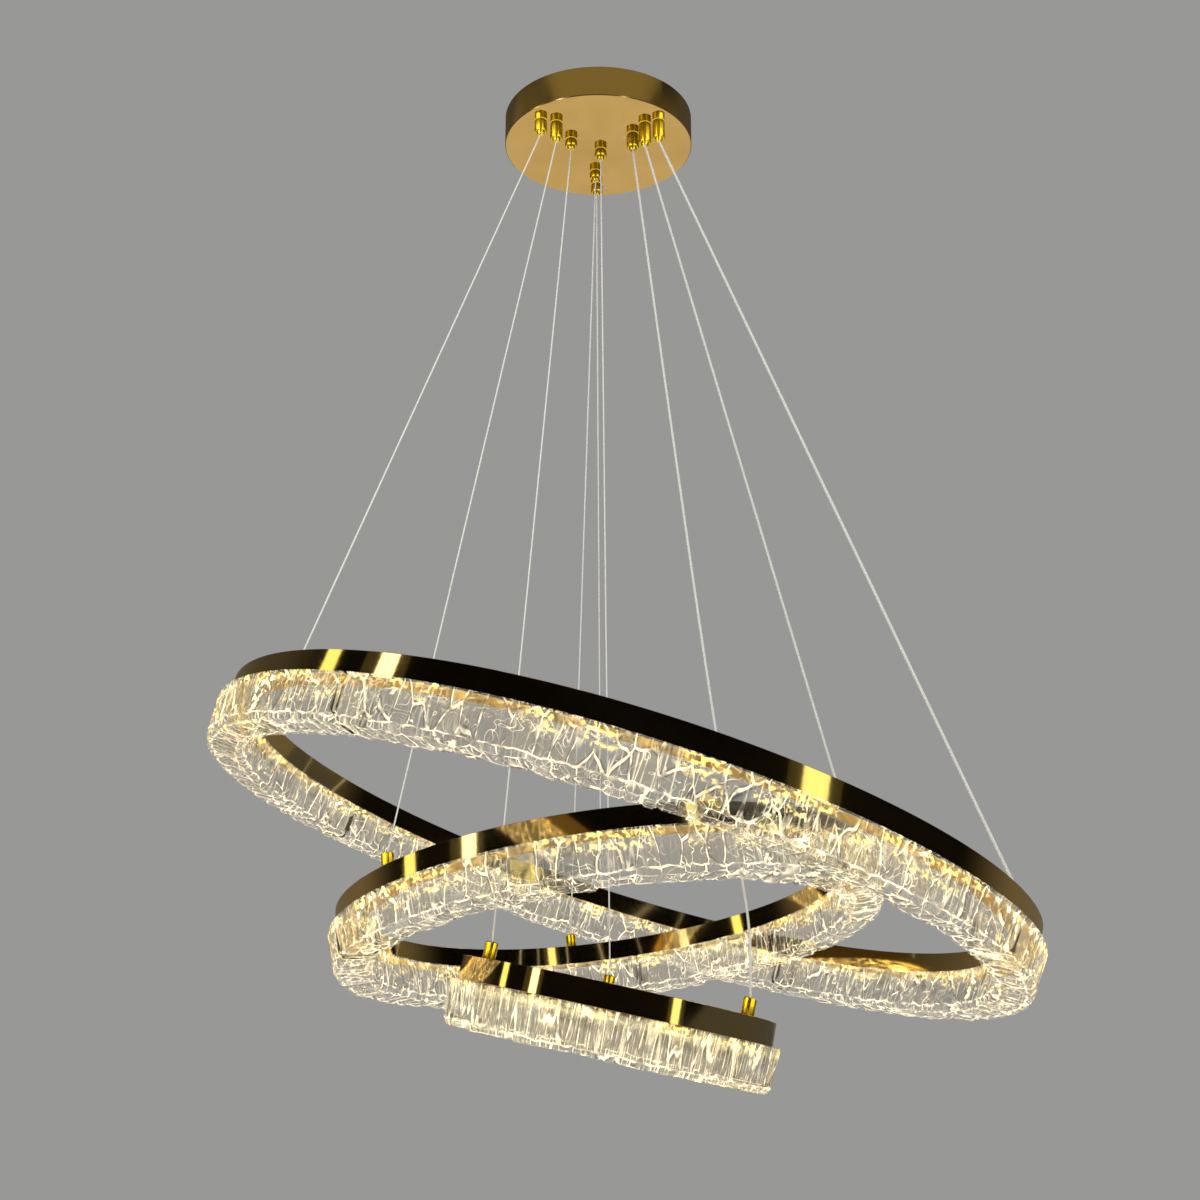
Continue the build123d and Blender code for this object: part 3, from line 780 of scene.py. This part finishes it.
def addIceArc(ringName, ring, index, section, outline):
    gapAngle = iceShape["gap"] / ring["radius"]
    sweep = 2 * math.pi / ring["arcs"] - gapAngle
    start = math.radians(ring["firstJoint"]) + index * 2 * math.pi / ring["arcs"] + gapAngle / 2
    cutPoints = [k for k, (_, _, cut) in enumerate(outline) if cut]
    pattern = "flute" if ringName == "small" else "block"
    look = iceLooks[pattern]
    holder = addObject("holder", bpy.data.meshes.new("holder"))
    modifier = holder.modifiers.new("ice", "NODES")
    modifier.node_group = iceArcTree
    setInputs(modifier, iceArcTree, {
        "Section": section, "Radius": ring["radius"], "Start": start, "Sweep": sweep,
        "Steps": round(ring["radius"] * sweep / iceShape["step"]),
        "Cut From": pathLength(outline, cutPoints[0]), "Cut To": pathLength(outline, cutPoints[-1] + 1),
        "Cell Width": look["width"], "Cell Height": look["height"],
        "Warp": look["warp"], "Relief": look["relief"],
        "Seed": index + ring["seed"], "Material": iceMaterials[pattern],
    })
    result = finalMesh(holder)
    result.name = f"{ringName}Ice{index + 1}"
    result.transform(ringMatrix(ring))
    shadeRound(result, "ice")
    piece = addObject(result.name, result)
    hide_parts(f"{ringName}_ring_crystal_arc_{index + 1}")
    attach(piece, f"{ringName}_ring")
    return piece


def addIce():
    for name, ring in rings.items():
        outline = iceSection(ring["radius"], iceShape)
        section = sectionCurve(f"{name}Section", outline, ring["radius"], iceShape["step"])
        scene.collection.objects.link(section)
        for index in range(ring["arcs"]):
            piece = addIceArc(name, ring, index, section, outline)
            print(piece.name, len(piece.data.polygons))
        bpy.data.objects.remove(section)


addIce()
print("ice arcs made")


# steel wires on the left and at the back, a flat clear cord with two cores on the right
wireShape = {
    "diameter": 0.0014, "flatWidth": 0.0044, "flatThickness": 0.0022, "waist": 0.82,
    "coreDiameter": 0.0007, "corePitch": 0.0021, "sides": 10, "flatSides": 20, "coreSides": 6,
    "resolution": 16,
}
sides = ("left", "right", "far")
canopyFloor = -0.032
insideNose = 0.0005  # how far a wire reaches into its nose
insideFerrule = 0.0003
# the place of each gripper, and how far it stands down from the canopy's disc
grippers = {
    ("large", "left"): (-0.059, -0.0665, 0.024),
    ("medium", "left"): (-0.04302, -0.06201, 0.029),
    ("small", "left"): (-0.0285, -0.030, 0.019),
    ("large", "right"): (0.062, -0.0655, 0.031),
    ("medium", "right"): (0.04803, -0.06003, 0.033),
    ("small", "right"): (0.036, -0.041, 0.027),
    ("large", "far"): (-0.002, 0.062, 0.021),
    ("medium", "far"): (-0.003, 0.0345, 0.019),
    ("small", "far"): (0.0025, -0.010, 0.019),
}
# the slack cord's route: share of the way down, and steps aside from the straight line
slackRoute = [(0.50, 0.0), (0.78, 0.0025), (0.87, 0.007), (0.93, 0.008), (0.968, 0.004)]


def wireEnds(ringName, side):
    x, y, drop = grippers[(ringName, side)]
    ring = rings[ringName]
    turn = math.radians(ring["azimuths"][side])
    reach = ring["radius"] - gutterWidth / 2
    top = Vector((x, y, canopyFloor - drop + insideNose))
    seat = Vector((reach * math.cos(turn), reach * math.sin(turn), ring["ferrule"] - insideFerrule))
    return top, ringMatrix(ring) @ seat


def routePoints(points):
    data = bpy.data.curves.new("route", "CURVE")
    data.dimensions = "3D"
    data.resolution_u = wireShape["resolution"]
    spline = data.splines.new("NURBS")
    spline.points.add(len(points) - 1)
    for point, place in zip(spline.points, points):
        point.co = (*place, 1)
    spline.order_u = 3
    spline.use_endpoint_u = True
    return [v.co.copy() for v in finalMesh(addObject("route", data)).vertices]


def circleSection(diameter, count, middle=0.0):
    turns = [2 * math.pi * k / count for k in range(count)]
    return [(middle + diameter / 2 * math.cos(turn), diameter / 2 * math.sin(turn)) for turn in turns]


# two round cords side by side, drawn in at the waist between them
def twinSection(width, thickness, waist, count):
    points = []
    half = (width - thickness) / 2
    for k in range(count):
        turn = 2 * math.pi * k / count
        x = math.cos(turn) * thickness / 2 + (half if math.cos(turn) >= 0 else -half)
        y = math.sin(turn) * thickness / 2
        squeeze = waist + (1 - waist) * min(1.0, abs(x) / half)
        points.append((x, y * squeeze))
    return points


# a section carried along a path, its first direction kept close to wide
def sweepSection(path, section, wide):
    verts, faces = [], []
    count = len(section)
    for k, point in enumerate(path):
        ahead = (path[min(k + 1, len(path) - 1)] - path[max(k - 1, 0)]).normalized()
        side = (wide - ahead * wide.dot(ahead)).normalized()
        other = ahead.cross(side)
        verts += [point + side * x + other * y for x, y in section]
        if k:
            base = (k - 1) * count
            for j in range(count):
                n = (j + 1) % count
                faces.append((base + j, base + n, base + count + n, base + count + j))
    faces.append(tuple(reversed(range(count))))
    faces.append(tuple(range((len(path) - 1) * count, len(path) * count)))
    return verts, faces


def meshPiece(name, parts):
    verts, faces, slots = [], [], []
    mesh = bpy.data.meshes.new(name)
    for index, (partVerts, partFaces, material) in enumerate(parts):
        faces += [tuple(len(verts) + v for v in face) for face in partFaces]
        slots += [index] * len(partFaces)
        verts += partVerts
        mesh.materials.append(material)
    mesh.from_pydata(verts, [], faces)
    mesh.polygons.foreach_set("material_index", slots)
    shadeRound(mesh, "wire")
    return addObject(name, mesh)


def wireParts(path, flat, wide, shape):
    if not flat:
        section = circleSection(shape["diameter"], shape["sides"])
        return [(*sweepSection(path, section, wide), plastics["paleWire"])]
    section = twinSection(shape["flatWidth"], shape["flatThickness"], shape["waist"], shape["flatSides"])
    parts = [(*sweepSection(path, section, wide), jacket)]
    for middle in (-shape["corePitch"] / 2, shape["corePitch"] / 2):
        section = circleSection(shape["coreDiameter"], shape["coreSides"], middle)
        parts.append((*sweepSection(path, section, wide), plastics["paleWire"]))
    return parts


def addWire(ringName, side):
    top, bottom = wireEnds(ringName, side)
    drop = bottom - top
    wide = Vector((0, 1, 0))
    if (ringName, side) == ("small", "right"):
        wide = drop.cross(Vector((1, 0, 0))).normalized()
        aside = wide.cross(drop).normalized()
        route = [top] + [top + drop * share + aside * step for share, step in slackRoute] + [bottom]
    else:
        route = [top, (top + bottom) / 2, bottom]
    path = routePoints(route)
    flat = side == "right"
    piece = meshPiece(f"{ringName}Wire{side.capitalize()}", wireParts(path, flat, wide, wireShape))
    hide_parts(f"wire_{ringName}_{side}")
    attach(piece, "canopy")
    length = sum((b - a).length for a, b in zip(path, path[1:]))
    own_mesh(piece)
    return length


for ringName in rings:
    for side in sides:
        print("wire", ringName, side, round(addWire(ringName, side), 4))


# the small turned fittings: copies of the CAD pieces, merged and shaded round
fittings = bpy.data.collections.new("fittings")
mergeDistance = 0.000002


def addFitting(name, body):
    form = bmesh.new()
    form.from_mesh(nodes[name].data)
    bmesh.ops.remove_doubles(form, verts=form.verts, dist=mergeDistance)
    mesh = bpy.data.meshes.new(f"{name}_round")
    form.to_mesh(mesh)
    form.free()
    shadeRound(mesh, "fitting")
    mesh.materials.clear()
    mesh.materials.append(metals["brightGold"])
    piece = addObject(f"{name}_round", mesh)
    fittings.objects.link(piece)
    piece.visible_glossy = False  # the disc shows no mirror image of them in the photograph
    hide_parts(name)
    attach(piece, body)


for ringName in rings:
    addFitting(f"{ringName}_ring_ferrules", f"{ringName}_ring")
    for side in sides:
        addFitting(f"gripper_{ringName}_{side}", "canopy")
        nose = f"release_nose_{ringName}_{side}"
        addFitting(nose, f"{nose}_body")
print("fittings shaded")

# the CAD pieces that stay; the nuts, boards and chips of the rings go by the end of their names
finishes = {
    "ceiling_bracket": metals["zincSteel"], "canopy_grub_screws": metals["brightGold"],
    "led_driver": plastics["driverWhite"], "terminal_block": plastics["nylon"],
    "cable_clamp": plastics["driverWhite"], "gripper_nuts": metals["brightGold"], "wire_tails": clearEnd,
}
ringFinishes = {
    "ferrule_nuts": metals["brightGold"], "led_board": plastics["boardWhite"], "led_chips": ledLight,
}
for name, piece in nodes.items():
    finish = finishes.get(name)
    for ending, ringFinish in ringFinishes.items():
        if name.endswith(ending):
            finish = ringFinish
    if finish is not None:
        piece.data.materials.clear()
        piece.data.materials.append(finish)
print("finishes set")


# the room as the camera sees it, as mirrors see it, and as the soft light that fills the shadows
studio = {
    "backdrop": 0.314, "fill": 0.92, "paleTint": (1.0, 0.995, 0.985), "glossTint": (1.0, 0.86, 0.60),
    "glossDark": 0.004, "glossBack": 0.15, "backEdge": (0.05, 0.55), "roofEdge": (0.10, 0.42, 1.0, 0.4),
    "paleFloor": 0.80, "floorEdge": (-0.75, -0.30), "floorHeight": -1.9, "floorSize": 14.0,
    "floorColour": (0.6, 0.6, 0.59), "floorRoughness": 0.8,
    "brightSpot": (0.0, 2.9, -1.9), "spotEdge": (1.3, 2.4), "farLevel": 0.07,
}
# cards of light; a level is the card's brightness as a mirror shows it
strips = {
    "leftWhite": {
        "place": (-0.559, -0.446, -0.60), "width": 0.070, "height": 1.3,
        "colour": (1.0, 0.97, 0.88), "level": 2.4,
    },
    "leftGlow": {
        "place": (-0.570, -0.438, -0.60), "width": 0.17, "height": 1.3,
        "colour": (1.0, 0.82, 0.40), "level": 0.05,
    },
    "leftWarm": {
        "place": (-1.141, -0.174, -0.30), "width": 0.11, "height": 1.6,
        "colour": (1.0, 1.0, 0.42), "level": 1.5,
    },
    "overCanopy": {
        "place": (0.025, -0.52, 0.35), "width": 1.15, "height": 0.8,
        "colour": (1.0, 0.80, 0.34), "level": 0.21,
    },
    "besideCanopyLeft": {
        "place": (-0.735, 0.02, 0.35), "width": 0.30, "height": 0.8,
        "colour": (1.0, 0.80, 0.36), "level": 0.085,
    },
    "besideCanopyRight": {
        "place": (0.79, 0.02, 0.35), "width": 0.30, "height": 0.8,
        "colour": (1.0, 0.80, 0.36), "level": 0.085,
    },
    "rightWarm": {
        "place": (0.476, -0.654, -0.78), "width": 0.070, "height": 1.1,
        "colour": (1.0, 1.0, 0.55), "level": 1.5,
    },
    "rightGlow": {
        "place": (0.490, -0.668, -0.78), "width": 0.15, "height": 1.1,
        "colour": (1.0, 0.85, 0.45), "level": 0.05,
    },
    # two wide cards for the small fittings alone, which show bright at both sides and dark between
    "fittingsLeft": {
        "place": (-0.51, -0.40, -0.2), "width": 0.72, "height": 2.2,
        "colour": (1.0, 0.97, 0.85), "level": 1.3, "for": fittings,
    },
    "fittingsRight": {
        "place": (0.51, -0.40, -0.2), "width": 0.72, "height": 2.2,
        "colour": (1.0, 0.97, 0.85), "level": 1.2, "for": fittings,
    },
}


def addStrip(name, strip):
    data = bpy.data.lights.new(name, "AREA")
    data.shape = "RECTANGLE"
    data.size = strip["width"]
    data.size_y = strip["height"]
    data.color = strip["colour"]
    data.energy = strip["level"] * math.pi * strip["width"] * strip["height"]
    lamp = bpy.data.objects.new(name, data)
    x, y, z = strip["place"]
    aim = Vector((0, 0, -1)) if z > 0 else Vector((-x, -y, 0))  # over the lamp a card lies flat
    lamp.location = strip["place"]
    lamp.rotation_euler = aim.to_track_quat("-Z", "Y").to_euler()
    lamp.visible_camera = False
    lamp.visible_transmission = False
    if "for" in strip:
        lamp.light_linking.receiver_collection = strip["for"]
    scene.collection.objects.link(lamp)


for name, strip in strips.items():
    addStrip(name, strip)


# the rays that mirrors send out, and those that the camera sees straight or through the acrylic
def rayKinds(tree):
    path = tree.nodes.new("ShaderNodeLightPath").outputs
    seen = maths(tree, "MAXIMUM", path["Is Camera Ray"], path["Is Transmission Ray"])
    return path["Is Glossy Ray"], seen


def addWorld(setup):
    world = bpy.data.worlds.new("studio")
    scene.world = world
    world.use_nodes = True
    tree = world.node_tree
    background = next(n for n in tree.nodes if n.type == "BACKGROUND")
    glossy, seen = rayKinds(tree)
    _, back, up = separate(tree, tree.nodes.new("ShaderNodeTexCoord").outputs["Generated"])
    behind = smooth(tree, back, *setup["backEdge"], setup["glossDark"], setup["glossBack"])
    below = smooth(tree, up, *setup["floorEdge"], setup["paleFloor"], 0.0)
    behind = maths(tree, "MULTIPLY", behind, smooth(tree, up, *setup["roofEdge"]))
    level = mixValue(tree, glossy, setup["fill"], maths(tree, "MAXIMUM", behind, below))
    join(tree, mixValue(tree, seen, level, setup["backdrop"]), background.inputs["Strength"])
    tint = mixColour(tree, glossy, setup["paleTint"], setup["glossTint"])
    join(tree, tint, background.inputs["Color"])


addWorld(studio)


def addFloor(setup):
    half = setup["floorSize"] / 2
    z = setup["floorHeight"]
    corners = [(-half, -half, z), (half, -half, z), (half, half, z), (-half, half, z)]
    mesh = bpy.data.meshes.new("floor")
    mesh.from_pydata(corners, [], [(0, 1, 2, 3)])
    floor = addObject("floor", mesh)
    material, tree, shader = newTree("paleFloor")
    shader.inputs["Base Color"].default_value = (*setup["floorColour"], 1)
    shader.inputs["Roughness"].default_value = setup["floorRoughness"]
    glossy, seen = rayKinds(tree)
    plain = tree.nodes.new("ShaderNodeEmission")
    plain.inputs["Color"].default_value = (*setup["paleTint"], 1)
    # in mirrors the floor glows, a painted pool of light round brightSpot that fades to farLevel
    away = addNode(tree, "ShaderNodeVectorMath", operation="DISTANCE")
    join(tree, tree.nodes.new("ShaderNodeTexCoord").outputs["Object"], away.inputs[0])
    away.inputs[1].default_value = setup["brightSpot"]
    far = smooth(tree, away.outputs["Value"], *setup["spotEdge"], setup["paleFloor"], setup["farLevel"])
    join(tree, mixValue(tree, glossy, setup["backdrop"], far), plain.inputs["Strength"])
    mix = tree.nodes.new("ShaderNodeMixShader")
    output = next(n for n in tree.nodes if n.type == "OUTPUT_MATERIAL")
    join(tree, maths(tree, "MAXIMUM", seen, glossy), mix.inputs[0])
    join(tree, shader.outputs[0], mix.inputs[1])
    join(tree, plain.outputs[0], mix.inputs[2])
    join(tree, mix.outputs[0], output.inputs["Surface"])
    mesh.materials.append(material)


addFloor(studio)
scene.view_settings.view_transform = "Standard"
print("studio lit")
